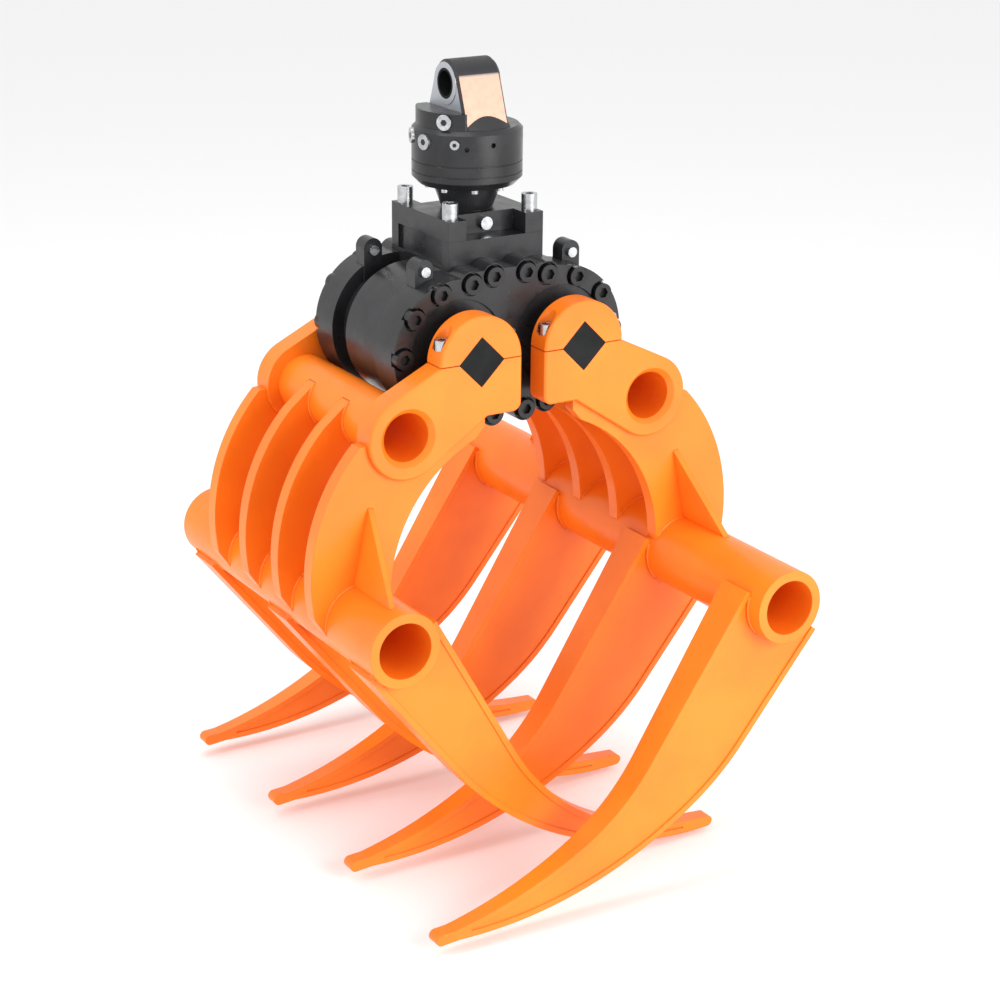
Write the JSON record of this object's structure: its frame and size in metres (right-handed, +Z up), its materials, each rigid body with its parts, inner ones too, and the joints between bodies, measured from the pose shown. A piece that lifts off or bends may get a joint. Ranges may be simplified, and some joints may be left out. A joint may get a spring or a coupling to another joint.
{
  "type": "log grapple",
  "caption": "Hydraulic log grapple with curved box-section tines on tube frames, turned by twin rotary cylinders under a rotator with a link eye.",
  "frame": {"origin": "centre of the link bore, at the top of the rotator, where the crane's pin passes", "axes": "+X from the left jaw to the right jaw and along the link bore, +Y from front to rear along the jaw shafts, +Z up through the rotator"},
  "size_m": [0.9508, 1.17, 1.571],
  "materials": {
    "bearing_bronze": "plain bearing bronze",
    "black_screws": "black oxide",
    "drive_paint": "gloss black paint",
    "ground_steel": "ground",
    "jaw_paint": "gloss amber-yellow paint",
    "link_steel": "machined steel",
    "seal_rubber": "matt",
    "shaft_steel": "blackened steel",
    "zinc": "bright zinc plated"
  },
  "bodies": {
    "link": {"link_eye": "link_steel", "link_bush": "shaft_steel", "rotator_housing": "drive_paint", "manifold_block": "drive_paint", "manifold_plugs": "zinc", "bottom_cover": "drive_paint", "cover_screws": "zinc", "stator_ring": "ground_steel", "thrust_washer": "bearing_bronze"},
    "carrier": {"rotor": "ground_steel", "rotor_vanes": "ground_steel", "adapter_plate": "drive_paint", "adapter_screws": "zinc", "adapter_plug": "zinc", "saddle": "drive_paint", "cylinder_block": "drive_paint", "front_end_plate": "drive_paint", "rear_end_plate": "drive_paint", "front_plate_screws": "black_screws", "rear_plate_screws": "black_screws", "front_glands": "drive_paint", "rear_glands": "drive_paint", "shaft_bearings": "bearing_bronze", "shaft_seals": "seal_rubber", "left_ring_gear": "ground_steel", "right_ring_gear": "ground_steel", "port_blocks": "drive_paint", "port_plugs": "zinc"},
    "left_jaw": {"left_shaft": "shaft_steel", "left_front_clamp": "jaw_paint", "left_rear_clamp": "jaw_paint", "left_front_cap": "jaw_paint", "left_rear_cap": "jaw_paint", "left_cap_screws": "zinc", "left_upper_tube": "jaw_paint", "left_lower_tube": "jaw_paint", "left_outer_ribs": "jaw_paint", "left_middle_ribs": "jaw_paint", "left_gussets": "jaw_paint", "left_tine_1": "jaw_paint", "left_tine_2": "jaw_paint", "left_tine_3": "jaw_paint"},
    "right_jaw": {"right_shaft": "shaft_steel", "right_front_clamp": "jaw_paint", "right_rear_clamp": "jaw_paint", "right_front_cap": "jaw_paint", "right_rear_cap": "jaw_paint", "right_cap_screws": "zinc", "right_upper_tube": "jaw_paint", "right_lower_tube": "jaw_paint", "right_outer_ribs": "jaw_paint", "right_middle_ribs": "jaw_paint", "right_gussets": "jaw_paint", "right_tine_1": "jaw_paint", "right_tine_2": "jaw_paint", "right_tine_3": "jaw_paint", "right_tine_4": "jaw_paint"},
    "left_piston": {"left_piston": "ground_steel"},
    "right_piston": {"right_piston": "ground_steel"}
  },
  "joints": [
    {"name": "rotator_turn", "type": "hinge", "parent": "link", "child": "carrier", "pos_m": [0, 0, -0.141], "axis": [0, 0, 1], "continuous": true},
    {"name": "right_jaw_swing", "type": "hinge", "parent": "carrier", "child": "right_jaw", "pos_m": [0.115, -0.014, -0.481], "axis": [0, -1, 0], "range_deg": [-8, 72]},
    {"name": "left_jaw_swing", "type": "hinge", "parent": "carrier", "child": "left_jaw", "pos_m": [-0.115, -0.014, -0.481], "axis": [0, 1, 0], "range_deg": [-8, 72]},
    {"name": "right_piston_slide", "type": "slide", "parent": "carrier", "child": "right_piston", "axis": [0, 1, 0], "range_m": [-0.0071, 0.0632]},
    {"name": "left_piston_slide", "type": "slide", "parent": "carrier", "child": "left_piston", "axis": [0, 1, 0], "range_m": [-0.0071, 0.0632]}
  ],
  "couplings": [
    {"joint": "left_jaw_swing", "follows": "right_jaw_swing", "ratio": 1},
    {"joint": "right_piston_slide", "follows": "right_jaw_swing", "m_per_rad": 0.050134},
    {"joint": "left_piston_slide", "follows": "right_jaw_swing", "m_per_rad": 0.050134}
  ]
}
